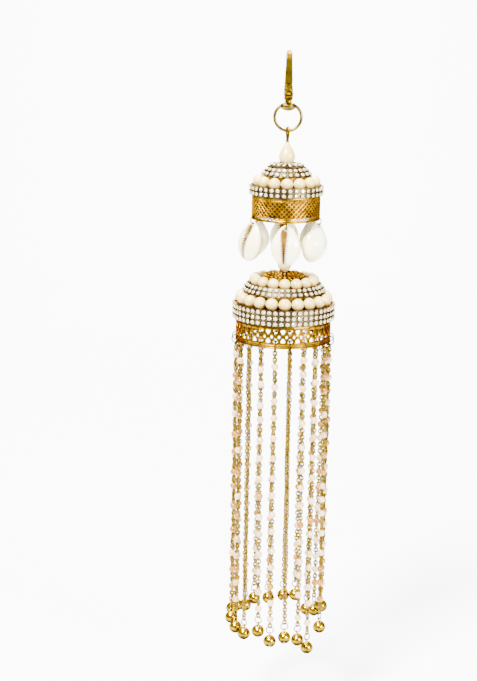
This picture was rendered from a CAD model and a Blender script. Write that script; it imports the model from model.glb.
# %% [markdown]
# # A kalire, dressed for the camera
#
# A kalire is a long bridal ornament that hangs from a bangle. From the top down it has a swivel
# clasp, a drop-shaped pearl, a small dome, a ring of cowrie shells, a larger dome, and a fringe of
# chains that end in small bells.
#
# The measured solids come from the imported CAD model, which is called the frame here. This script adds
# what the solids leave out: the links of the chains, the cut of the stones, the teeth of the shells,
# the weave of the bands, and every surface finish. Lengths are written in millimetres and multiplied
# by MM where Blender needs metres.

import math
import random

import bpy
from mathutils import Matrix, Vector


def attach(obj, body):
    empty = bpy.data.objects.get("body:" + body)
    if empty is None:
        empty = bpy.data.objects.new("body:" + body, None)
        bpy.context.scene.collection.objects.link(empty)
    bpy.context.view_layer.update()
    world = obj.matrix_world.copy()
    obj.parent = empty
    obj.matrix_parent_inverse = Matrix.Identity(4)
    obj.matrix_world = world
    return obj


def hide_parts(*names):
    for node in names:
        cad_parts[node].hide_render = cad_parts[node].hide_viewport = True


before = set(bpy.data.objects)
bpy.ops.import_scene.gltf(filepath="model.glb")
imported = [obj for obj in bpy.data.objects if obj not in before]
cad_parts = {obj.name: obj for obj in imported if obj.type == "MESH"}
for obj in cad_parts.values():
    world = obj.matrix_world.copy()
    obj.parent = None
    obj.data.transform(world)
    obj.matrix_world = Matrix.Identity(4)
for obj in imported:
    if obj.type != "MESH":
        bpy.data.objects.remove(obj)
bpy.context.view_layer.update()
MM = 0.001
pieces = []
print("nodes in the frame:", len(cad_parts))

# %% [markdown]
# ## A few working habits
#
# An operator in Blender acts on all that is selected, so each step starts with nothing selected. A
# piece is finished by putting its place into its mesh, so that its object sits at the origin, as the
# nodes of the frame do. Patterns in the finishes then stay where they belong on the piece.
#
# Steps that come back in many shapes have short names here: cut one object out of another, open a mesh
# for editing, start from a flat circle, extrude what is selected, and mend the mesh at the end. A list
# keeps the finished pieces with the node that each replaces, its material slot, and the moving body
# that it rides on.


# %% Selecting and settling
def clear():
    """Leave edit mode with nothing selected."""
    if bpy.context.object and bpy.context.object.mode == "EDIT":
        bpy.ops.object.mode_set(mode="OBJECT")
    bpy.ops.object.select_all(action="DESELECT")


def pick(*objects):
    """Select some objects, the first of them active."""
    clear()
    for obj in objects:
        obj.select_set(True)
    bpy.context.view_layer.objects.active = objects[0]


def settled(name, finish):
    """Name the active object, put its place into its mesh and give it a finish."""
    obj = bpy.context.object
    bpy.ops.object.transform_apply(location=True, rotation=True, scale=True)
    obj.name = obj.data.name = name
    obj.data.materials.clear()
    obj.data.materials.append(finish)
    return obj


def modified(obj, kind, **settings):
    """Add a modifier to an object and apply it at once."""
    pick(obj)
    modifier = obj.modifiers.new(kind, kind)
    for key, value in settings.items():
        setattr(modifier, key, value)
    bpy.ops.object.modifier_apply(modifier=modifier.name)
    return obj


def cut(obj, tool):
    """Cut one object out of another and throw the tool away."""
    modified(obj, "BOOLEAN", operation="DIFFERENCE", solver="EXACT", object=tool)
    bpy.data.objects.remove(tool)


def soften(obj, degrees):
    """Shade smooth, but keep edges that are sharper than an angle."""
    pick(obj)
    bpy.ops.object.shade_smooth_by_angle(angle=math.radians(degrees))


def edit(obj):
    """Open an object in edit mode with all of it selected."""
    pick(obj)
    bpy.ops.object.mode_set(mode="EDIT")
    bpy.ops.mesh.select_all(action="SELECT")


def circle(sides, radius, place=(0, 0, 0), facing=False):
    """Open a new circle of a radius in mm for editing, lying flat or facing the viewer."""
    clear()
    bpy.ops.mesh.primitive_circle_add(vertices=sides, radius=radius * MM, location=Vector(place) * MM,
                                      rotation=(math.pi / 2 * facing, 0, 0))
    bpy.ops.object.transform_apply()
    bpy.ops.object.mode_set(mode="EDIT")


def extrude(x, y, z):
    """Extrude what is selected and move the new part by so many mm."""
    bpy.ops.mesh.extrude_region_move(TRANSFORM_OT_translate={"value": Vector((x, y, z)) * MM})


def mend(merge=0.0):
    """Merge what lies closer than merge in mm, face all outwards and leave edit mode."""
    bpy.ops.mesh.select_all(action="SELECT")
    if merge:
        bpy.ops.mesh.remove_doubles(threshold=merge * MM)
    bpy.ops.mesh.normals_make_consistent(inside=False)
    bpy.ops.object.mode_set(mode="OBJECT")


def keep(piece, node, slot, body="pendant"):
    """Note what a finished piece replaces and rides on, and print its size."""
    pieces.append((piece, body, node, slot))
    print(piece.name, "has", len(piece.data.polygons), "faces")


# %% [markdown]
# ## Copies and places
#
# Most of the ornament is a few patterns repeated in rings. A pattern is modelled once at the origin,
# facing the viewer along -Y, and a matrix carries each copy out to its azimuth, which is measured from
# the front towards +X. Every copy has its own mesh, and the copies of one piece are joined.


# %% Placing copies
def at(azimuth, radius, height, *turns):
    """The matrix that carries a pattern from the origin to an azimuth, radius and height."""
    place = Matrix.Rotation(math.radians(azimuth), 4, "Z")
    place = place @ Matrix.Translation(Vector((0, -radius, height)) * MM)
    for turn in turns:
        place = place @ turn
    return place


def turn(axis, degrees):
    return Matrix.Rotation(math.radians(degrees), 4, axis)


def raised(height):
    return Matrix.Translation((0, 0, height * MM))


def stretch(x, y, z):
    return Matrix.Diagonal((x, y, z, 1))


def copies(pattern, places):
    """Copies of a pattern, each with its own mesh, one at each matrix."""
    made = []
    for place in places:
        copy = bpy.data.objects.new(pattern.name, pattern.data.copy())
        copy.data.transform(place)
        bpy.context.collection.objects.link(copy)
        made.append(copy)
    return made


def joined(name, objects):
    """Join objects into one piece."""
    pick(*objects)
    if len(objects) > 1:
        bpy.ops.object.join()
    obj = bpy.context.object
    obj.name = obj.data.name = name
    return obj


def discard(*patterns):
    for pattern in patterns:
        bpy.data.objects.remove(pattern)


def paint(obj, name, rule):
    """Give each vertex a number, by a rule that takes its height in mm."""
    numbers = obj.data.attributes.new(name, "FLOAT", "POINT").data
    for vertex in obj.data.vertices:
        numbers[vertex.index].value = rule(vertex.co.z / MM)


# %% [markdown]
# ## Turned pieces
#
# Beads, bells, pearls and caps are round about one axis, like work from a lathe. One vertex is dragged
# along half of the outline by extruding it again and again, and the line is then spun through a full
# turn. A ring of wire is a torus, which Blender has as a primitive.


# %% Turning on a lathe
def turned(name, outline, finish, steps=48, height=0.0, smooth=40):
    """Spin an outline of (radius, height) in mm round the Z axis."""
    clear()
    bpy.ops.mesh.primitive_plane_add(size=MM, location=(0, 0, 0))
    bpy.ops.object.mode_set(mode="EDIT")
    bpy.ops.mesh.merge(type="CENTER")
    here = Vector((0, 0, 0))
    for number, (radius, level) in enumerate(outline):
        there = Vector((radius, 0, height + level)) * MM
        if number == 0:
            bpy.ops.transform.translate(value=there - here)
        else:
            bpy.ops.mesh.extrude_region_move(TRANSFORM_OT_translate={"value": there - here})
        here = there
    bpy.ops.mesh.select_all(action="SELECT")
    bpy.ops.mesh.spin(steps=steps, angle=2 * math.pi, center=(0, 0, 0), axis=(0, 0, 1))
    mend(0.002)
    soften(bpy.context.object, smooth)
    return settled(name, finish)


def wire_ring(name, radius, wire, finish, around=28, sides=8, place=None):
    """A closed ring of round wire, both radii in mm, flat at the origin unless a matrix places it."""
    clear()
    bpy.ops.mesh.primitive_torus_add(
        major_radius=radius * MM, minor_radius=wire * MM,
        major_segments=around, minor_segments=sides,
    )
    bpy.ops.object.shade_smooth()
    ring = settled(name, finish)
    if place:
        ring.data.transform(place)
    return ring


# %% [markdown]
# ## Finishes
#
# A finish is a node tree. To keep the arithmetic readable, a small class wraps a shader socket and
# overloads + - *, so that an expression on values builds its own Math nodes. What varies over a surface
# feeds only the colour, the roughness, the metal, the clear coat or the bump, and every fixed number is
# set on the shader itself. All the patterns read Object coordinates or an attribute of the piece, which
# is a number that each vertex of the mesh carries.


# %% Shader arithmetic
class Value:
    """One shader socket that behaves like a number."""

    def __init__(self, socket):
        self.socket = socket

    def calculate(self, operation, first, second):
        tree = self.socket.id_data
        node = tree.nodes.new("ShaderNodeMath")
        node.operation = operation
        for slot, item in zip(node.inputs, (first, second)):
            if isinstance(item, Value):
                tree.links.new(item.socket, slot)
            else:
                slot.default_value = item
        return Value(node.outputs[0])

    def __add__(self, other):
        return self.calculate("ADD", self, other)

    def __sub__(self, other):
        return self.calculate("SUBTRACT", self, other)

    def __rsub__(self, other):
        return self.calculate("SUBTRACT", other, self)

    def __mul__(self, other):
        return self.calculate("MULTIPLY", self, other)

    __radd__ = __add__
    __rmul__ = __mul__


class Finish:
    """A material, with one way to add any node to it."""

    def __init__(self, name):
        self.material = bpy.data.materials.new(name)
        self.material.use_nodes = True
        self.tree = self.material.node_tree
        self.shader = self.tree.nodes["Principled BSDF"]

    def feed(self, socket, item):
        if isinstance(item, Value):
            self.tree.links.new(item.socket, socket)
        else:
            socket.default_value = item

    def node(self, kind, settings=None, sockets=None, output=0):
        """Add a node: its settings first, then the values or links of its sockets."""
        node = self.tree.nodes.new("ShaderNode" + kind)
        for key, item in (settings or {}).items():
            setattr(node, key, item)
        for key, item in (sockets or {}).items():
            self.feed(node.inputs[key], item)
        return Value(node.outputs[output])

    def noise(self, scale, detail=2.0):
        """A soft cloud of values from about 0.3 to 0.7; scale is in features per metre."""
        place = self.node("TexCoord", output="Object")
        return self.node("TexNoise", sockets={"Vector": place, "Scale": scale, "Detail": detail})

    def attribute(self, name):
        """A number that each vertex of the mesh carries."""
        return self.node("Attribute", {"attribute_name": name}, output="Fac")

    def spread(self, value, low, high):
        """Stretch a value so that low becomes 0 and high becomes 1, and clip it there."""
        return self.node("MapRange", sockets={"Value": value, "From Min": low, "From Max": high})

    def blend(self, share, colour, other):
        """The first colour where share is 0, the other where it is 1."""
        node = self.tree.nodes.new("ShaderNodeMix")
        node.data_type = "RGBA"
        for slot, item in zip((0, 6, 7), (share, colour, other)):
            self.feed(node.inputs[slot], item)
        return Value(node.outputs[2])

    def bump(self, height, depth):
        """Turn a value into relief of a depth in mm."""
        return self.node("Bump", sockets={"Height": height, "Distance": depth * MM})

    def set(self, **sockets):
        """Feed the shader's own sockets and hand over the material."""
        for key, item in sockets.items():
            self.feed(self.shader.inputs[key.replace("_", " ")], item)
        return self.material


# %% [markdown]
# ### Gold plate
#
# The metal is thin gold plate on brass. It is never one even yellow: it is deeper and more orange where
# polish hasn't reached, and a fine grain breaks up its reflections. Two noises do this, a slow one for
# the colour and a fine one for the roughness and the relief.
#
# The parts were plated and handled apart, so each has a gold of its own. The bands are the reddest, the
# castings and jump rings have darkened, and the wall behind the wire mesh lies in shade. All metals
# turn paler at a grazing angle. Each finish names that paler colour too, so that the sides of a round
# piece stay gold in front of a white background.


# %% Gold
def plate(name, pale, deep, roughness, edge):
    """Plated metal that drifts between two colours; edge is its colour at a grazing angle."""
    finish = Finish(name)
    drift = finish.spread(finish.noise(260, 3), 0.35, 0.65)
    fine = finish.noise(2600, 2)
    return finish.set(
        Base_Color=finish.blend(drift, (*deep, 1), (*pale, 1)),
        Metallic=1.0,
        Specular_Tint=(*edge, 1),
        Roughness=roughness + 0.22 * (fine - 0.5),
        Normal=finish.bump(fine, 0.012),
    )


gold = plate("gold_plate", (0.38, 0.215, 0.005), (0.13, 0.07, 0.001), 0.32, (0.5, 0.3, 0.02))
band_gold = plate("band_gold", (0.46, 0.245, 0.0), (0.15, 0.065, 0.0), 0.30, (0.24, 0.125, 0.0))
pierced_gold = plate("pierced_gold", (0.27, 0.14, 0.0), (0.12, 0.055, 0.0), 0.30, (0.2, 0.1, 0.0))
band_backing = plate("band_backing", (0.15, 0.068, 0.0), (0.05, 0.02, 0.0), 0.40, (0.2, 0.09, 0.0))
cast_gold = plate("cast_gold", (0.26, 0.165, 0.004), (0.12, 0.07, 0.001), 0.30, (0.5, 0.3, 0.03))
chain_gold = plate("chain_gold", (0.25, 0.16, 0.016), (0.12, 0.074, 0.005), 0.34, (0.2, 0.13, 0.015))
ring_gold = plate("ring_gold", (0.06, 0.039, 0.006), (0.028, 0.018, 0.003), 0.36, (0.06, 0.039, 0.006))
old_gold = plate("old_gold", (0.19, 0.135, 0.03), (0.09, 0.06, 0.012), 0.30, (0.4, 0.28, 0.06))

# %% [markdown]
# ### Bells
#
# The bells are the same plate, darkened towards the foot, where the bath and handling leave a dull olive
# brown. Each bell carries an attribute that runs from 0 at its foot to 1 at its top, because Object
# coordinates are the same for the whole piece and can't tell one bell from the next.

# %% Bell metal
finish = Finish("bell_gold")
height = finish.attribute("bell_height")
worn = finish.spread(height + 0.5 * (finish.noise(700) - 0.5), 0.32, 0.88)
fine = finish.noise(2600, 2)
bell_gold = finish.set(
    Base_Color=finish.blend(worn, (0.03, 0.02, 0.002, 1), (0.62, 0.39, 0.002, 1)),
    Metallic=1.0,
    Specular_Tint=(0.16, 0.095, 0.01, 1),
    Roughness=0.2 + 0.2 * (fine - 0.5),
    Normal=finish.bump(fine, 0.01),
)

# %% [markdown]
# ### Pearls
#
# An imitation pearl is a bead under many coats of lustre. It is cream, with drifts of peach, and its
# gloss has two parts: a broad soft sheen from the base, which the tint makes golden, and a small sharp
# highlight from the clear coat. Pearls that sit close together lend each other a warm glow below, and
# the attribute called underside paints it in. The chains have smaller and pinker beads, and a few of
# amber glass.


# %% Pearl
def pearl_lustre(name, cream, peach, scale, sheen=(1, 0.82, 0.42)):
    """Cream with drifts of peach; sheen is the colour of the broad highlight."""
    finish = Finish(name)
    under = finish.attribute("underside")
    tint = finish.spread(finish.noise(scale, 1), 0.38, 0.66)
    fine = finish.noise(900, 2)
    body = finish.blend(tint, (*cream, 1), (*peach, 1))
    return finish.set(
        Base_Color=finish.blend(under * 0.9, body, (0.26, 0.125, 0.005, 1)),
        Roughness=0.3 + 0.12 * (fine - 0.5),
        IOR=1.7,
        Specular_Tint=(*sheen, 1),
        Coat_Weight=0.5,
        Coat_Roughness=0.12,
        Normal=finish.bump(fine, 0.006),
    )


pearl = pearl_lustre("pearl", (0.76, 0.60, 0.20), (0.64, 0.46, 0.11), 150)
bead_pearl = pearl_lustre("bead_pearl", (0.72, 0.58, 0.20), (0.62, 0.48, 0.13), 120)
seed_pearl = pearl_lustre("seed_pearl", (0.62, 0.46, 0.28), (0.46, 0.27, 0.11), 260)
amber_bead = pearl_lustre("amber_bead", (0.30, 0.12, 0.003), (0.18, 0.06, 0.0), 260, sheen=(1, 0.6, 0.15))

# %% [markdown]
# ### Cut stones and their cups
#
# Cup chain is glass stones with foil behind them, each in a small cup of dull white metal. The foil
# makes a stone act like a set of tiny mirrors. Here a stone is pale, partly metal, and under a clear
# coat, and the sparkle comes from the flat facets that catch a light.

# %% Stones
finish = Finish("stone")
tint = finish.spread(finish.noise(330, 1), 0.35, 0.65)
stone = finish.set(
    Base_Color=finish.blend(tint, (0.62, 0.53, 0.33, 1), (0.68, 0.52, 0.23, 1)),
    Metallic=0.35,
    Roughness=0.07 + 0.06 * finish.noise(1500),
    Coat_Weight=1.0,
    Coat_Roughness=0.02,
)
cup_metal = plate("cup_metal", (0.24, 0.185, 0.10), (0.11, 0.08, 0.04), 0.3, (0.4, 0.32, 0.2))

# %% [markdown]
# ### Shell
#
# A cowrie is polished by the animal itself: a hard cream gloss, warmer towards the rim, and dull brown
# inside the slot. Two attributes of the shell's mesh say where the slot and the rim are. In the slot the
# clear coat is taken away and the surface is set to metal, because a metal shows no white sheen over its
# own colour.

# %% Cowrie shell
finish = Finish("cowrie_shell")
slot = finish.attribute("slot")
rim = finish.attribute("rim")
cloud = finish.noise(170, 3)
fine = finish.noise(1400, 3)
cream = finish.blend(finish.spread(cloud, 0.36, 0.66), (0.97, 0.94, 0.66, 1), (0.93, 0.82, 0.46, 1))
warm = finish.blend(rim * 0.85, cream, (0.66, 0.44, 0.16, 1))
shell = finish.set(
    Base_Color=finish.blend(slot, warm, (0.17, 0.075, 0.006, 1)),
    Metallic=slot,
    Roughness=0.2 + 0.4 * slot + 0.1 * (fine - 0.5),
    Coat_Weight=0.6 - 0.6 * slot,
    Coat_Roughness=0.05,
    Normal=finish.bump(fine, 0.02),
)

# %% [markdown]
# ### Thread
#
# A little of the thread shows between two pearls. It is pale, dull and twisted, which a fine noise with
# some relief suggests well enough at this size.

# %% Thread
finish = Finish("thread")
strands = finish.noise(3500, 1)
thread = finish.set(
    Base_Color=finish.blend(strands, (0.62, 0.50, 0.34, 1), (0.88, 0.80, 0.66, 1)),
    Roughness=0.75 + 0.2 * (strands - 0.5),
    Normal=finish.bump(strands, 0.03),
)
print("finishes:", len(bpy.data.materials))

# %% [markdown]
# ## Clasp
#
# The clasp is a small casting, with edges that the mould and the polish have rounded. The CAD solid has
# the right shape with crisp edges, so a copy of it is merged, rebuilt by the Remesh modifier from small
# cubes, and smoothed. This rounds every edge a little, the inner ones too. Bevelling each edge by hand
# would also do it, but the edges are many and meet at odd angles.


# %% Cast hook and lever
def cast(node, name, voxel):
    """A copy of a node with the soft edges of a casting, from cubes of a size in mm."""
    obj = bpy.data.objects.new(name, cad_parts[node].data.copy())
    bpy.context.collection.objects.link(obj)
    edit(obj)
    bpy.ops.mesh.remove_doubles(threshold=0.001 * MM)
    bpy.ops.object.mode_set(mode="OBJECT")
    modified(obj, "REMESH", mode="VOXEL", voxel_size=voxel * MM)
    modified(obj, "SMOOTH", factor=0.5, iterations=4)
    bpy.ops.object.shade_smooth()
    return settled(name, cast_gold)


keep(cast("clasp_hook", "hook_cast", 0.16), "clasp_hook", "antique_gold", "hook")
keep(cast("clasp_lever", "lever_cast", 0.1), "clasp_lever", "gold", "lever")

# %% [markdown]
# ## Swivel ring
#
# The ring turns under the hook on a small post with a head, which sits inside the hook's neck. Ring,
# boss, post and head are one casting: a torus with a turned boss through it. The part of the torus that
# would stand out above the boss is cut off with a bisect.

# %% Ring, boss and post
RING_R = 6.35
RING_WIRE_R = 0.75
RING_Z = -29.6
BOSS_Z = -22.95
CUT_Z = BOSS_Z - 0.6
boss = turned("boss", [
    (0, 1.9), (0.75, 1.9), (1.0, 1.7), (1.0, 0.65), (0.9, 0.5), (0.6, 0.5), (0.6, 0), (2.6, 0),
    (2.95, -0.1), (3.85, -0.85), (3.9, -1.0), (3.75, -1.9), (3.6, -2.1), (2.6, -3.0), (1.4, -3.5),
    (0, -3.7),
], old_gold, 48, BOSS_Z)
hoop = wire_ring("hoop", RING_R, RING_WIRE_R, old_gold, 96, 16, raised(RING_Z) @ turn("X", 90))
edit(hoop)
bpy.ops.mesh.bisect(plane_co=(0, 0, CUT_Z * MM), plane_no=(0, 0, 1), clear_outer=True)
bpy.ops.object.mode_set(mode="OBJECT")
keep(joined("ring_cast", [boss, hoop]), "swivel_ring", "antique_gold", "swivel")

# %% [markdown]
# ## Stem
#
# A wire eye hangs in the ring, and its two legs close on the post that carries everything below. A
# circle of wire is spun through half a turn for the eye, and its two open ends are extruded down. Spin
# turns against the right-hand rule, so the half turn over the top has a minus sign.

# %% Eye and post
SWING_Z = -35.95
EYE_R = 1.55
EYE_WIRE_R = 0.57
EYE_TURN = 18
LEG_IN = 1.25
LEG_FOOT_Z = -41
POST_R = 0.7
UPPER_Z = -52.6
LOWER_Z = -104.1
circle(16, EYE_WIRE_R, (0, EYE_R, SWING_Z))
bpy.ops.mesh.spin(steps=16, angle=-math.pi, center=(0, 0, SWING_Z * MM), axis=(1, 0, 0))
bpy.ops.object.mode_set(mode="OBJECT")
eye = settled("eye", gold)
for side in (-1, 1):
    pick(eye)
    bpy.ops.object.mode_set(mode="EDIT")
    bpy.ops.mesh.select_all(action="DESELECT")
    bpy.ops.object.mode_set(mode="OBJECT")
    for vertex in eye.data.vertices:
        vertex.select = abs(vertex.co.z - SWING_Z * MM) < 0.01 * MM and vertex.co.y * side > 0
    bpy.ops.object.mode_set(mode="EDIT")
    bpy.ops.mesh.select_mode(type="VERT")
    extrude(0, -side * LEG_IN, LEG_FOOT_Z - SWING_Z)
    bpy.ops.object.mode_set(mode="OBJECT")
edit(eye)
mend()
soften(eye, 60)
eye.data.transform(turn("Z", EYE_TURN))
post = turned("post", [
    (0, -40.1), (0.45, -40.15), (0.8, -40.5), (0.9, -41), (0.8, -41.4), (POST_R, -41.6),
    (POST_R, UPPER_Z - 0.95), (2.2, UPPER_Z - 0.95), (2.2, UPPER_Z - 1.95), (POST_R, UPPER_Z - 1.95),
    (POST_R, LOWER_Z - 2.2), (2.4, LOWER_Z - 2.2), (2.4, LOWER_Z - 3.8), (POST_R, LOWER_Z - 3.8),
    (POST_R, LOWER_Z - 4.2), (0, LOWER_Z - 4.2),
], gold, 24)
keep(joined("stem_wire", [eye, post]), "drop_stem", "gold")

# %% [markdown]
# ## Drop-shaped beads
#
# Two beads sit on the stem, one above each dome. They are turned: narrow at the top, full below, with
# a drilled hole from end to end whose edges are slightly rounded.


# %% Beads
DROP_L = 11.4
DROP_BORE_R = 0.85


def drop_bead(name, width, top):
    """A drop with its bore, its top at a height in mm."""
    steps = 20
    outside = []
    for k in range(1, steps):
        share = k / steps
        full = width / 2 * math.sin(math.pi * share ** 1.5) ** 0.55
        outside.append((max(full, DROP_BORE_R + 0.1), -DROP_L * share))
    outline = [(DROP_BORE_R, -0.25), *outside, (DROP_BORE_R, 0.02 - DROP_L), (DROP_BORE_R, -0.25)]
    return turned(name, outline, bead_pearl, 40, top, 50)


keep(drop_bead("bead_upper", 7.7, -41.15), "top_bead", "bead")
keep(drop_bead("bead_lower", 7.0, -92.55), "middle_bead", "bead")

# %% [markdown]
# ## Rows of pearls
#
# Three rows of pearls go round the domes on threads. One pearl is turned with its bore, laid on its
# side so that the bore follows the row, and copied round. Each copy is rolled by a random angle, with
# a fixed seed, so that no two show the same side. The vertices below a pearl's middle then get their
# share of the warm underside.


# %% Pearl rows
PEARL_BORE_R = 0.5


def clip(value):
    return min(max(value, 0), 1)


def drilled_pearl(radius):
    """A pearl with its bore along Z."""
    steps = 12
    start = math.asin(PEARL_BORE_R / radius)
    outline = []
    for k in range(steps + 1):
        angle = start + (math.pi - 2 * start) * k / steps
        outline.append((radius * math.sin(angle), radius * math.cos(angle)))
    outline.append(outline[0])
    return turned("pearl", outline, pearl, 22, 0, 55)


def pearl_row(name, node, radius, height, diameter, count):
    chance = random.Random(count)
    one = drilled_pearl(diameter / 2)
    places = [at(k * 360 / count, radius, height, turn("X", chance.uniform(0, 360)), turn("Y", 90))
              for k in range(count)]
    row = joined(name, copies(one, places))
    discard(one)
    paint(row, "underside", lambda z: clip((height - z) / (diameter / 2) * 0.9 + 0.42))
    keep(row, node, "pearl")


pearl_row("pearls_upper", "upper_pearls", 13.6, UPPER_Z - 7.4, 5.8, 14)
pearl_row("pearls_crown", "lower_crown_pearls", 14.3, LOWER_Z - 3.6, 5.4, 16)
pearl_row("pearls_lower", "lower_pearls", 20.8, LOWER_Z - 12.15, 5.9, 21)

# %% [markdown]
# ## Cup chain
#
# A stone is a crown of sixteen facets round a flat table. It starts as an octagon and is extruded
# towards the viewer. The front is made smaller and turned by half a side, which folds each side face
# into two triangles. The cup is a short tube with a flat lip, and four prongs hold the stone down. A
# thin metal strip backs the rows. Stones that are set by hand never stand quite straight, so each is
# tipped by a few degrees.
#
# The measured crown of the small dome stops where the dome turns flat. Two rows of smaller stones cover
# that flat top up to the bead, so the crown's piece is made of two cones.


# %% One stone in its cup
STONE_R = 0.86
EDGE_H = 0.16
FACET_H = 0.34
TABLE_SHARE = 0.6
CUP_R = 1.12
CUP_H = 0.62
MOUTH_SHARE = 0.88


def faceted_stone():
    circle(8, STONE_R, facing=True)
    extrude(0, -EDGE_H, 0)
    extrude(0, -FACET_H, 0)
    bpy.ops.transform.resize(value=(TABLE_SHARE, 1, TABLE_SHARE), center_override=(0, 0, 0))
    bpy.ops.transform.rotate(value=math.pi / 8, orient_axis="Y", center_override=(0, 0, 0))
    bpy.ops.mesh.edge_face_add()
    bpy.ops.mesh.select_all(action="SELECT")
    bpy.ops.mesh.quads_convert_to_tris(quad_method="SHORTEST_DIAGONAL")
    mend()
    return settled("stone", stone)


def stone_cup():
    circle(8, CUP_R, (0, 0.5, 0), facing=True)
    extrude(0, -CUP_H, 0)
    extrude(0, 0, 0)
    bpy.ops.transform.resize(value=(MOUTH_SHARE, 1, MOUTH_SHARE), center_override=(0, 0, 0))
    extrude(0, 0.3, 0)
    mend()
    return settled("cup", cup_metal)


def prong():
    clear()
    bpy.ops.mesh.primitive_cone_add(vertices=5, radius1=0.2 * MM, radius2=0.12 * MM, depth=0.62 * MM,
                                    location=(1.08 * MM, -0.16 * MM, 0), rotation=(math.pi / 2, 0, 0.25))
    return settled("prong", cup_metal)


crown, cup, claw = faceted_stone(), stone_cup(), prong()
claws = copies(claw, [turn("Y", 45 + 90 * k) for k in range(4)])
set_stone = joined("set_stone", [crown, cup, *claws])
discard(claw)
print("a set stone has", len(set_stone.data.polygons), "faces")


# %% Rows of stones
PITCH_ROUND = 2.5
PITCH_DOWN = 2.42
STRIP_FRONT = 0.4
STRIP_BACK = 0.85


def stone_cone(top, foot, rows, count, base, chance):
    """Stones on a cone between two (radius, height) places, on a backing strip."""
    run = (foot[0] - top[0], foot[1] - top[1])
    length = math.hypot(*run)
    out = (-run[1] / length, run[0] / length)
    tilt = math.degrees(math.atan2(out[1], out[0]))
    tall = length / rows / PITCH_DOWN
    places = []
    for row in range(rows):
        share = (row + 0.5) / rows
        radius = top[0] + run[0] * share
        wide = min(2 * math.pi * radius / count / PITCH_ROUND, tall * 1.12)
        for k in range(count):
            places.append(at((k + 0.5) * 360 / count, radius, base + top[1] + run[1] * share,
                             turn("X", chance.uniform(-5, 5) - tilt), turn("Z", chance.uniform(-6, 6)),
                             stretch(wide, 1, tall)))

    corners = ((top, STRIP_FRONT), (foot, STRIP_FRONT), (foot, STRIP_BACK), (top, STRIP_BACK),
               (top, STRIP_FRONT))
    outline = [(end[0] - out[0] * depth, end[1] - out[1] * depth) for end, depth in corners]
    return [*copies(set_stone, places), turned("strip", outline, cup_metal, 96, base)]


def stone_rows(name, node, base, *cones):
    """One piece of cup chain from one or more cones of stones."""
    chance = random.Random(node)
    parts = []
    for cone in cones:
        parts += stone_cone(*cone, base, chance)
    keep(joined(name, parts), node, "stone")


stone_rows("stones_upper_crown", "upper_crown_stones", UPPER_Z,
           ((8.8, -0.4), (12.1, -4.1), 2, 22), ((3.9, 1.3), (8.4, 0.55), 2, 16))
stone_rows("stones_upper_rim", "upper_rim_stones", UPPER_Z, ((17.4, -8.9), (17.4, -13.6), 2, 36))
stone_rows("stones_lower_mid", "lower_mid_stones", LOWER_Z, ((17.3, -4.85), (20.3, -8.65), 2, 40))
stone_rows("stones_lower_rim", "lower_rim_stones", LOWER_Z, ((24.5, -14.3), (24.5, -22.2), 3, 52))
discard(set_stone)

# %% [markdown]
# ## Upper band
#
# The small dome's band is a mesh of fine wires that cross on the slant between two plain rims. One
# upright wire is turned into a slanting one by the Twist of a Simple Deform modifier, because the wire
# stands away from the axis that it is twisted round. Copies of it go round in both directions. No light
# comes through the mesh, so a thin dark wall stands behind it.

# %% Wire mesh band
BAND_TOP = 13.7
BAND_H = 11.8
BAND_FOOT = UPPER_Z - BAND_TOP - BAND_H
WIRES = 44
WIRE_R = 0.3
WIRE_H = 10.2
WIRE_STEPS = 10


def slanted_wire(degrees, radius):
    """A wire from rim to rim that goes round by some degrees on its way up."""
    circle(6, WIRE_R, (0, -radius, 0))
    for step in range(WIRE_STEPS):
        extrude(0, 0, WIRE_H / WIRE_STEPS)
    mend()
    bpy.ops.object.shade_smooth()
    wire = settled("wire", band_gold)
    return modified(wire, "SIMPLE_DEFORM", deform_method="TWIST", deform_axis="Z",
                    angle=math.radians(degrees))


parts = []
for degrees, radius in ((36, 16.2), (-36, 16.0)):
    wire = slanted_wire(degrees, radius)
    low = min(v.co.z for v in wire.data.vertices)
    lift = Matrix.Translation((0, 0, (BAND_FOOT + 0.9) * MM - low))
    parts += copies(wire, [turn("Z", k * 360 / WIRES) @ lift for k in range(WIRES)])
    discard(wire)
parts.append(turned("backing", [(15.7, 2.05), (15.82, 2.05), (15.82, 11), (15.7, 11), (15.7, 2.05)],
                    band_backing, 96, BAND_FOOT))
parts.append(turned("rim_top", [
    (15.7, 10.9), (16.4, 10.9), (16.5, 11.3), (16.4, 11.8), (15.7, 11.8), (15.7, 10.9)],
    band_gold, 96, BAND_FOOT))
parts.append(turned("rim_foot", [
    (15.75, 1.2), (15.7, 0.15), (16.05, 0), (16.45, 0.1), (16.6, 0.5), (16.5, 1.0), (16.3, 1.25),
    (15.75, 1.2)], band_gold, 96, BAND_FOOT))
for height in (1.75, 10.3):
    parts.append(wire_ring("cord_wire", 16.06, 0.28, band_gold, 96, 6, raised(BAND_FOOT + height)))
keep(joined("band_upper", parts), "upper_band", "gold")

# %% [markdown]
# ## Lower band
#
# The large dome's band is a strip pierced with two rows of rounded three-cornered holes and small
# diamonds between them. One cell is modelled flat: a circle for the hole is pulled to three corners,
# its edge is extruded outwards to a rectangle, and the corners that meet four to a point are drawn
# back to leave a diamond. The cell is then curved to the band's radius and copied round. Cutting the
# holes with a Boolean would work too, but eighty cuts are slow and leave long thin faces.

# %% Pierced band
WALL_TOP = 22.35
WALL_H = 10.8
LOWER_FOOT = LOWER_Z - WALL_TOP - WALL_H
WALL_R = 22.85
CELLS = 40
CELL_FOOT = 1.9
CELL_SPLIT = 5.75
FIRST_AZIMUTH = -10.5


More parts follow.
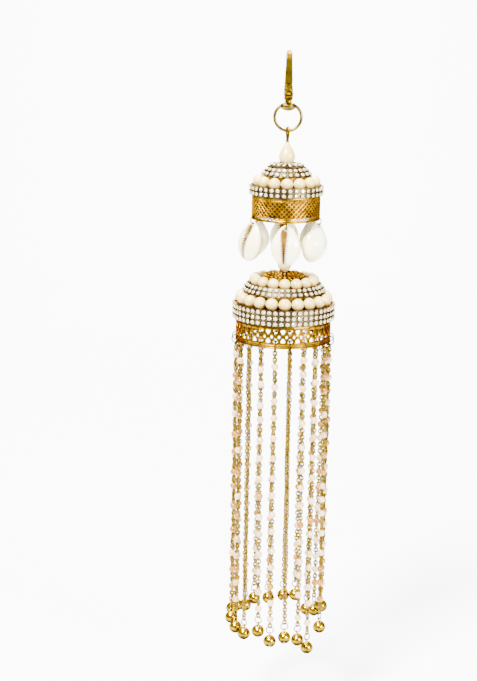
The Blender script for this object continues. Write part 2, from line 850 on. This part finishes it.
def pierced_cell(low, high, points_up, inner_corner):
    """A cell between two heights, with its corners drawn back on the side named by inner_corner."""
    circle(32, 1, facing=True)
    extrude(0, 0, 0)
    bpy.ops.transform.resize(value=(2, 1, 2), center_override=(0, 0, 0))
    bpy.ops.object.mode_set(mode="OBJECT")
    cell = settled("cell", pierced_gold)
    half_w = math.pi * WALL_R / CELLS
    half_h = (high - low) / 2
    for vertex in cell.data.vertices:
        x, z = vertex.co.x / MM, vertex.co.z / MM
        angle = math.atan2(z, x)
        if math.hypot(x, z) < 1.5:
            lobe = 1.02 + 0.16 * math.cos(3 * (angle - math.pi / 2 * points_up))
            flat, up = lobe * math.cos(angle), lobe * math.sin(angle)
        else:
            reach = max(abs(math.cos(angle)), abs(math.sin(angle)))
            u, v = math.cos(angle) / reach, math.sin(angle) / reach
            flat, up = u * half_w, v * half_h
            if abs(abs(u) - abs(v)) < 0.01 and v * inner_corner > 0:
                flat -= math.copysign(0.42, u)
                up -= math.copysign(0.5, v)
        vertex.co = Vector((flat, 0, up + (low + high) / 2)) * MM
    return cell


cells = [pierced_cell(CELL_FOOT, CELL_SPLIT, 1, 1), pierced_cell(CELL_SPLIT, WALL_H, -1, -1)]
flat = joined("cell", cells)
for vertex in flat.data.vertices:
    angle = vertex.co.x / (WALL_R * MM)
    vertex.co = Vector((WALL_R * MM * math.sin(angle), -WALL_R * MM * math.cos(angle), vertex.co.z))
places = [turn("Z", FIRST_AZIMUTH + k * 360 / CELLS) @ raised(LOWER_FOOT) for k in range(CELLS)]
wall = joined("wall", copies(flat, places))
discard(flat)
edit(wall)
mend(0.02)
modified(wall, "SOLIDIFY", thickness=0.66 * MM, offset=0)
modified(wall, "BEVEL", width=0.09 * MM, segments=1, limit_method="ANGLE", angle_limit=math.radians(50))
soften(wall, 50)
rims = [wire_ring("rim_wire", WALL_R, 0.5, pierced_gold, 120, 10, raised(LOWER_FOOT + height))
        for height in (0.5, 1.5)]
keep(joined("band_lower", [wall, *rims]), "lower_band", "gold")

# %% [markdown]
# ## Granulated cap
#
# The gold cap on the large dome is a shallow turned dish with grains of metal soldered on in rings. The
# dish is the darker gold, because it lies in the shade of the grains. One grain is a small sphere with
# its hidden half left on, copied round in five rings of different sizes.

# %% Cap with grains
dish = turned("dish", [
    (0.85, -0.95), (0.85, 0), (3.6, 0), (5.6, -0.25), (7.6, -0.6), (9.4, -1.25), (10.6, -1.95),
    (10.8, -2.2), (10.8, -2.5), (10.5, -2.5), (7.9, -1.8), (3.4, -0.95), (0.85, -0.95),
], band_backing, 72, LOWER_Z)
clear()
bpy.ops.mesh.primitive_uv_sphere_add(segments=12, ring_count=8, radius=MM)
bpy.ops.object.shade_smooth()
grain = settled("grain", gold)
GRAIN_ROWS = ((44, 10.5, -2.05, 0.5), (26, 9.3, -1.3, 0.75), (30, 7.5, -0.7, 0.5), (16, 5.6, -0.4, 0.7),
              (14, 3.7, -0.05, 0.5))
grains = []
for count, radius, height, size in GRAIN_ROWS:
    grains += copies(grain, [at(k * 360 / count, radius, LOWER_Z + height, stretch(size, size, size))
                             for k in range(count)])
discard(grain)
keep(joined("cap_grains", [dish, *grains]), "lower_cap", "gold")

# %% [markdown]
# ## Cowries
#
# A cowrie is an egg with a domed back and a flatter face, and a toothed slot runs down the face. It is
# a sphere with its rows and columns moved in code: first to the egg's outline, then a groove is pressed
# in along the slot, its two lips are raised, and small ridges cross them. The columns are crowded
# together near the slot, because that is where the detail is.

# %% Shell form
COWRIE_L = 19.5
COWRIE_W = 14.2
COWRIE_BACK = 5.6
COWRIE_FACE = 3.0
COWRIE_TIP = 1.7
COWRIE_HOLE_R = 1.0
TOOTH_PITCH = 1.05
SLOT_DEPTH = 1.7
LIP_H = 0.3
TOOTH_H = 0.22


def hump(away, width):
    """A smooth hump that is 1 in the middle and almost 0 at twice its width."""
    return math.exp(-(away / width) ** 2)


def egg(t):
    """Share of the full width at a share of the length."""
    return max(math.sin(math.pi * t ** 1.195), 0.0)


def slot_line(t):
    """Middle and half width of the slot at a share of the length."""
    return 0.8 + 0.3 * math.sin(2.6 * t), 0.45 + 0.8 * hump(t - 0.2, 0.2) + 0.3 * hump(t - 0.5, 0.25)


def shell_vertex(t, angle):
    """Place of a vertex, and how far it is into the slot, from its row and column."""
    share = egg(t)
    front = math.sin(angle) > 0
    x = COWRIE_W / 2 * share ** 0.505 * math.cos(angle)
    if not front:
        y = COWRIE_BACK * share ** (1.1 if t < 0.56 else 0.6) * math.sin(angle)
        return Vector((x, y, COWRIE_TIP - COWRIE_L * t)), 0.0
    y = COWRIE_FACE * share ** (0.9 if t < 0.56 else 0.5) * math.sin(angle) ** 0.8
    middle, wide = slot_line(t)
    away = abs(x - middle)
    ends = clip((t - 0.07) / 0.05) * clip((0.98 - t) / 0.04)
    inside = clip((wide + 0.35 - away) / 0.5) * ends
    lip = hump(away - wide - 1.1, 0.9) * ends
    tooth = 0.5 + 0.5 * math.cos(2 * math.pi * COWRIE_L * t / TOOTH_PITCH)
    ridge = hump(away - wide - 0.35, 0.75) * tooth * ends
    groove = SLOT_DEPTH * inside * inside * (3 - 2 * inside) * min(share * 1.4, 1)
    y += LIP_H * lip + TOOTH_H * ridge - groove
    x += math.copysign(0.16, middle - x) * ridge
    between = clip(1.7 - 2 * tooth) * hump(away - wide - 0.3, 0.65) * ends
    return Vector((x, y, COWRIE_TIP - COWRIE_L * t)), max(inside, between)


# %% Shell pattern
ROWS = 88
COLUMNS = 80


def cowrie_pattern():
    """A shell that hangs from its hole at the origin, with its slotted face to +Y."""
    clear()
    bpy.ops.mesh.primitive_uv_sphere_add(segments=COLUMNS, ring_count=ROWS, radius=MM)
    bpy.ops.object.shade_smooth()
    cowrie = settled("cowrie", shell)
    slot = cowrie.data.attributes.new("slot", "FLOAT", "POINT")
    rim = cowrie.data.attributes.new("rim", "FLOAT", "POINT")
    for vertex in cowrie.data.vertices:
        x, y, z = (vertex.co / MM).normalized()
        t = math.acos(max(min(z, 1), -1)) / math.pi
        t = t - 0.06 * math.sin(2 * math.pi * t)
        angle = math.atan2(y, x)
        if angle > 0:
            side = (angle - math.pi / 2) / (math.pi / 2)
            angle = math.pi / 2 * (1 + math.copysign(abs(side) ** 1.5, side))
        place, depth = shell_vertex(t, angle)
        vertex.co = place * MM
        slot.data[vertex.index].value = depth
        edge = hump(angle if abs(angle) < 1.6 else math.pi - abs(angle), 0.28)
        rim.data[vertex.index].value = 0.7 * edge + 0.5 * hump(t, 0.1)
    return cowrie


cowrie = cowrie_pattern()
clear()
bpy.ops.mesh.primitive_cylinder_add(vertices=24, radius=COWRIE_HOLE_R * MM, depth=12 * MM,
                                    rotation=(math.pi / 2, 0, 0))
cut(cowrie, settled("drill", shell))
soften(cowrie, 60)

# %% [markdown]
# The six shells hang from the upper band's foot, each with its own tilt and turn. Four of them show
# the slot, and two have turned their backs out. The table gives a shell's azimuth, its outward tilt,
# its turn, 1 where the slot shows, and its lean. Rings that hang in each other leave a small gap.

# %% Hanging the cowries
COWRIES = [(0, 1, 0, 1, 0), (72, -3, -32, 0, 10), (126, 3, 0, 1, 0), (180, 2, 0, 0, 0), (234, 4, 0, 1, 0),
           (288, 7, 28, 1, -5)]
GAP = 0.15
JUMP_WIRE_R = 0.275
BAND_R = 16.05
COWRIE_RING_R = 1.7
COWRIE_RING_Z = BAND_FOOT + 0.85 + 0.7 - COWRIE_RING_R
COWRIE_HOLE_Z = COWRIE_RING_Z - COWRIE_RING_R - (COWRIE_HOLE_R - GAP - JUMP_WIRE_R)
for number, (azimuth, tilt, twist, face, lean) in enumerate(COWRIES, 1):
    place = at(azimuth, BAND_R, COWRIE_HOLE_Z, turn("X", -tilt), turn("Z", twist + 180 * face),
               turn("Y", lean))
    keep(joined(f"shell_{number}", copies(cowrie, [place])), f"cowrie_{number}", "shell")
discard(cowrie)

# %% [markdown]
# A jump ring is a plain loop of wire. The same pattern, in three sizes, carries the shells, the chains
# and the bells. A shell's ring takes a quarter of the shell's own turn.


# %% Jump rings
def ring_set(name, node, radius, places):
    """One piece of jump rings, one at each matrix."""
    one = wire_ring("jump_ring", radius, JUMP_WIRE_R, ring_gold, 22, 8)
    keep(joined(name, copies(one, places)), node, "gold")
    discard(one)


ring_set("rings_cowrie", "cowrie_rings", COWRIE_RING_R,
         [at(azimuth, BAND_R, COWRIE_RING_Z, turn("Z", twist / 4), turn("Y", 90))
          for azimuth, _, twist, _, _ in COWRIES])

# %% [markdown]
# ## Fringe
#
# Twenty chains hang from jump rings in the lower band, and each ends in a jump ring with a bell. The
# table gives each chain's length, and how far its foot has drifted to the right and to the back. Most
# chains have one to four links between small beads on eye pins. Three are plain cable chain.

# %% Where the chains hang
STRANDS = [
    (138, 0.5, 0.2), (136, 0.5, 0.5), (138, 0.2, 0.8), (144, -0.7, 1.3), (135, 1.2, 0.8),
    (126.5, -0.2, 1.1), (129.5, -0.4, 1.3), (134.5, -1.2, 1.4), (136, -0.9, 0.5), (130, -1, 0.6),
    (131, -0.3, -0.1), (132.5, -0.9, -0.4), (132, -1.4, -0.6), (134, -0.1, -1.3), (132, -0.2, -1),
    (131, 0, -0.9), (133, -0.2, -1.1), (135.5, 0, -0.8), (136.5, 0.1, -0.7), (133.5, 1.4, -0.3),
]
PLAIN = (2, 11, 19)
ROUTE = [(0, 0), (0.35, 0.3), (0.7, 0.7), (1, 1)]
HOLE_Z = LOWER_FOOT + 3.3
HOLE_R = 0.95
STRAND_RING_R = 2.2
STRAND_RING_Z = HOLE_Z - HOLE_R + GAP - (STRAND_RING_R - JUMP_WIRE_R)
STRAND_TOP_Z = STRAND_RING_Z - STRAND_RING_R - JUMP_WIRE_R - GAP


def azimuth_of(number):
    return FIRST_AZIMUTH + 18 * number


def strand_point(number, share):
    """The middle of a chain at a share of its length, in mm."""
    length, across, back = STRANDS[number]
    angle = math.radians(azimuth_of(number))
    for (low, a), (high, b) in zip(ROUTE, ROUTE[1:]):
        if low <= share <= high:
            drift = a + (b - a) * (share - low) / (high - low)
            break
    return Vector((WALL_R * math.sin(angle) + across * drift, -WALL_R * math.cos(angle) + back * drift,
                   STRAND_TOP_Z - length * share))


ring_set("rings_strand", "strand_rings", STRAND_RING_R,
         [at(azimuth_of(k), WALL_R, STRAND_RING_Z, turn("Y", 90)) for k in range(len(STRANDS))])

# %% [markdown]
# A chain link is a small torus pulled longer, by moving its upper half up and its lower half down.
# Neighbouring links are a quarter turn apart, and each passes through the next with a hair of play.
# The last link at each end passes through a jump ring. Links keep a low number of sides, because
# there are almost nine hundred of them, and the loops of the eye pins come on top.

# %% Link and pearl patterns
LINK_R = 0.92
LINK_WIRE = 0.74
LINK_HALF = 1.2
LOOP_R = 0.8
BEAD_R = 1.7
PEARL_HALF = BEAD_R + 0.6 + LOOP_R
HAIR = 0.04
PLAY = LINK_WIRE + HAIR


def chain_link():
    """An upright link whose opening faces the viewer."""
    link = wire_ring("link", LINK_R, LINK_WIRE / 2, chain_gold, 12, 5, turn("X", 90))
    for vertex in link.data.vertices:
        vertex.co.z += math.copysign((LINK_HALF - LINK_R) * MM, vertex.co.z)
    return link


def pearl_unit(finish):
    """A small bead on an eye pin, with a loop of wire above and below."""
    clear()
    bpy.ops.mesh.primitive_uv_sphere_add(segments=14, ring_count=10, radius=BEAD_R * MM)
    bpy.ops.object.shade_smooth()
    bead = settled("bead", finish)
    loop = wire_ring("loop", LOOP_R, LINK_WIRE / 2, chain_gold, 8, 5, turn("X", 90))
    loops = copies(loop, [raised(side * (PEARL_HALF - LOOP_R)) for side in (-1, 1)])
    discard(loop)
    return joined("pearl_unit", [bead, *loops])


patterns = {"link": chain_link(), "pearl": pearl_unit(seed_pearl), "amber": pearl_unit(amber_bead)}
for kind, pattern in patterns.items():
    print(kind, "has", len(pattern.data.polygons), "faces")

# %% [markdown]
# The links of a chain are counted so that its natural length comes closest to the table's, and the
# whole chain is then stretched by the small rest. A slight wander from a fixed seed keeps the chains
# from looking ruled, and each chain has a slow twist that is greatest at its middle and nothing at its
# ends, where the jump rings hold it. One bead in eight is amber, and half of them at the two sides,
# where the photograph shows the most.


# %% Counting the links
RUNS = (1, 2, 2, 3, 3, 4)


def sequence(length, plain, chance):
    """The order of links and pearls whose length comes closest to the one asked."""
    pattern = []
    while len(pattern) < 120:
        pattern += ["link"] * chance.choice(RUNS)
        pattern.append("link" if plain else "pearl")
    best = None
    for count in range(20, 120):
        order = pattern[:count]
        if order[-1] != "link":
            continue
        halves = [LINK_HALF if kind == "link" else PEARL_HALF for kind in order]
        total = 2 * sum(halves) - PLAY * (count - 1)
        if best is None or abs(total - length) < abs(best[0] - length):
            best = (total, order, halves)
    return best


# %% Stringing the chains
RING_REACH = GAP + JUMP_WIRE_R
END_PLAY = JUMP_WIRE_R + LINK_WIRE / 2 + HAIR
SWAY = 0.22
WAVE = 9
TWIST = 45


def wandered(wander, depth, length):
    """How far a chain leaves its line at a depth in mm; it doesn't at its two ends."""
    phase = depth / WAVE
    low = int(phase)
    mix = phase - low
    side = wander[low] * (1 - mix) + wander[low + 1] * mix
    sway = SWAY * min(min(depth, length - depth) / 12, 1)
    return Vector((sway * side, sway * side * 0.6, 0))


def strung(number):
    """One whole chain, from its jump ring to its bell's."""
    length = STRANDS[number][0]
    span = length + 2 * RING_REACH + 2 * END_PLAY
    chance = random.Random(number)
    total, order, halves = sequence(span, number + 1 in PLAIN, chance)
    scale = span / total
    azimuth = azimuth_of(number)
    amber_share = 0.5 if abs(math.sin(math.radians(azimuth))) > 0.8 else 0.12
    wander = [chance.uniform(-1, 1) for _ in range(40)]
    twist = TWIST * math.sin(2.4 * number)
    spots = {"link": [], "pearl": [], "amber": []}
    depth = halves[0] * scale - RING_REACH - END_PLAY
    for k, kind in enumerate(order):
        if k:
            depth += (halves[k - 1] + halves[k] - PLAY) * scale
        middle = strand_point(number, depth / length) + wandered(wander, depth, length)
        facing = azimuth + 90 * (k % 2) + chance.uniform(-9, 9)
        facing += twist * math.sin(math.pi * depth / length)
        if kind == "pearl" and chance.random() < amber_share:
            kind = "amber"
        spots[kind].append(Matrix.Translation(middle * MM) @ turn("Z", facing) @ stretch(1, 1, scale))
    made = [copy for kind in spots for copy in copies(patterns[kind], spots[kind])]
    keep(joined(f"chain_{number + 1:02d}", made), f"strand_{number + 1:02d}", "gold")
    return scale


scales = [strung(number) for number in range(len(STRANDS))]
discard(*patterns.values())
print("chains are stretched by", round(min(scales), 4), "to", round(max(scales), 4))

# %% [markdown]
# ## Bells
#
# A ghungroo bell is two stamped cups closed on each other, with a seam round the middle, a slot with
# round ends that lets the sound out at the foot, and a wire ear on top. The hollow ball is turned from
# one closed outline, and the slot is cut with Boolean modifiers, once, before the bell is copied.

# %% Bell pattern
BELL_R = 3.1
BELL_INNER_R = BELL_R - 0.45
BELL_SEAM = [(3.08, 0.3), (3.19, 0.2), (3.19, -0.2), (3.08, -0.3)]
EAR_R = 0.85
EAR_WIRE_R = 0.3
EAR_SINK = 0.1


def arc(radius, start, steps):
    """Points down or up half a circle, from the top (1) or from the foot (-1)."""
    angles = [start * math.pi * (0.5 - k / steps) for k in range(steps + 1)]
    return [(max(radius * math.cos(angle), 0), radius * math.sin(angle)) for angle in angles]


outer = arc(BELL_R, 1, 16)
outline = outer[:8] + BELL_SEAM + outer[9:] + arc(BELL_INNER_R, -1, 12)
bell = turned("bell", outline, bell_gold, 24, 0, 35)
clear()
bpy.ops.mesh.primitive_cube_add(size=1, location=(0, 0, -2.8 * MM))
bpy.context.object.scale = (0.6 * MM, 7 * MM, 2.6 * MM)
cut(bell, settled("saw", bell_gold))
for side in (-1, 1):
    clear()
    bpy.ops.mesh.primitive_cylinder_add(vertices=12, radius=0.55 * MM, depth=3 * MM,
                                        location=(0, side * 2.35 * MM, -2.1 * MM),
                                        rotation=(side * math.radians(48), 0, 0))
    cut(bell, settled("drill", bell_gold))
soften(bell, 35)
ear = wire_ring("ear", EAR_R, EAR_WIRE_R, bell_gold, 16, 8,
                raised(BELL_R + EAR_R - EAR_SINK) @ turn("Y", 90))
bell = joined("bell", [bell, ear])
paint(bell, "bell_height", lambda z: 0.5 + z / (2 * BELL_R))

# %% Hanging the bells
BELL_RING_R = 1.75
EAR_GAP = 0.1
ring_places = []
bell_places = []
for number in range(len(STRANDS)):
    foot = strand_point(number, 1)
    ring_at = foot - Vector((0, 0, RING_REACH + BELL_RING_R))
    ear_at = ring_at - Vector((0, 0, BELL_RING_R + EAR_R - EAR_WIRE_R - JUMP_WIRE_R - EAR_GAP))
    bell_at = ear_at - Vector((0, 0, EAR_R - EAR_SINK + BELL_R))
    azimuth = azimuth_of(number)
    ring_places.append(Matrix.Translation(ring_at * MM) @ turn("Z", azimuth) @ turn("X", 90))
    bell_places.append(Matrix.Translation(bell_at * MM) @ turn("Z", azimuth))
ring_set("rings_bell", "bell_rings", BELL_RING_R, ring_places)
keep(joined("bells_hung", copies(bell, bell_places)), "bells", "antique_gold")
discard(bell)

# %% [markdown]
# ## What stays as it was measured
#
# The domes under the pearls and stones, and the threads through the pearls, are right as solids. They
# keep their meshes and get their finishes.

# %% Finishes for the frame's own nodes
for node, finish in (("upper_dome", gold), ("lower_dome", gold), ("upper_pearl_thread", thread),
                     ("lower_crown_thread", thread), ("lower_pearl_thread", thread)):
    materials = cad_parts[node].data.materials
    for slot in range(len(materials)):
        materials[slot] = finish

# %% [markdown]
# Every piece now rides on a moving body, and takes the place of the node that it was made for.

# %% Riding on the bodies
for piece, body, node, slot in pieces:
    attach(piece, body)
    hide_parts(node)
total = sum(len(face.vertices) - 2 for piece, *_ in pieces for face in piece.data.polygons)
print("pieces:", len(pieces), "triangles:", total)

# %% [markdown]
# ## Studio
#
# The ornament hangs in front of a plain pale sheet that curves up from the floor. The plane's back edge
# is extruded in ten short steps, each turned a little further up, and then once straight up. Gold needs
# something darker than white to reflect, or it turns chalky, so the surroundings are a soft grey. The
# light comes from four soft panels, and one of them shines on the backdrop alone, which keeps it white.

# %% Backdrop
FLOOR_Z = -0.33
SHEET_Y = 0.2
SHEET_H = 2.2
CURVE_STEP = 0.11
STEPS = 10
clear()
bpy.ops.mesh.primitive_plane_add(size=1)
bpy.context.object.scale = (1.1, 1.0, 1)
bpy.context.object.location = (0, SHEET_Y, FLOOR_Z)
bpy.ops.object.transform_apply(location=True, rotation=False, scale=True)
sheet = bpy.context.object
sheet.name = "backdrop"
for vertex in sheet.data.vertices:
    vertex.select = vertex.co.y > SHEET_Y
for edge in sheet.data.edges:
    edge.select = all(sheet.data.vertices[k].select for k in edge.vertices)
for face in sheet.data.polygons:
    face.select = False
bpy.ops.object.mode_set(mode="EDIT")
bpy.ops.mesh.select_mode(type="EDGE")
for step in range(STEPS):
    angle = math.radians(90 * (step + 0.5) / STEPS)
    bpy.ops.mesh.extrude_region_move(
        TRANSFORM_OT_translate={"value": (0, CURVE_STEP * math.cos(angle), CURVE_STEP * math.sin(angle))})
bpy.ops.mesh.extrude_region_move(TRANSFORM_OT_translate={"value": (0, 0, SHEET_H)})
bpy.ops.object.mode_set(mode="OBJECT")
bpy.ops.object.shade_smooth()
paper = Finish("backdrop_paper")
sheet.data.materials.append(paper.set(Base_Color=(0.93, 0.93, 0.92, 1), Roughness=0.9))


# %% Lights
def panel(name, place, aim, size, power):
    """A soft square light at a place in metres, turned to face a point."""
    light = bpy.data.lights.new(name, "AREA")
    light.shape = "SQUARE"
    light.size = size
    light.energy = power
    lamp = bpy.data.objects.new(name, light)
    bpy.context.collection.objects.link(lamp)
    lamp.location = place
    lamp.rotation_euler = (Vector(aim) - Vector(place)).to_track_quat("-Z", "Y").to_euler()


panel("key", (-0.55, -0.95, 1.0), (0, 0, -0.13), 0.35, 190)
panel("fill", (0.9, -1.0, 0.15), (0, 0, -0.15), 0.5, 70)
panel("top", (-0.3, 0.15, 1.1), (0, 0, -0.1), 0.8, 70)
panel("backdrop_light", (0, 0.8, 1.0), (0, 1.25, -0.3), 0.8, 95)
world = bpy.data.worlds.new("studio")
bpy.context.scene.world = world
world.use_nodes = True
background = world.node_tree.nodes["Background"]
background.inputs["Color"].default_value = (0.80, 0.79, 0.77, 1)
background.inputs["Strength"].default_value = 0.6

# %% [markdown]
# ## Camera
#
# The photograph was taken from the front and a little above, with a long lens. The camera stands 0.8 m
# in front, looks down by about 12.6 degrees, and is rolled slightly, because the ornament leans in the
# picture. It is moved to the left, so that the ornament stands right of the middle.

# %% Camera
SENSOR = 36
FOCAL_PIXELS = 1680
PICTURE_HEIGHT = 681
ROLL = 1.0
camera_data = bpy.data.cameras.new("camera")
camera_data.sensor_width = SENSOR
camera_data.lens = SENSOR * FOCAL_PIXELS / PICTURE_HEIGHT
camera = bpy.data.objects.new("camera", camera_data)
bpy.context.collection.objects.link(camera)
eye_at = Vector((-21.6, -800, 40.6)) * MM
aim_at = Vector((-21.6, 0, -138.4)) * MM
looking = (aim_at - eye_at).to_track_quat("-Z", "Y").to_matrix().to_4x4()
camera.matrix_world = Matrix.Translation(eye_at) @ looking @ turn("Z", ROLL)
bpy.context.scene.camera = camera
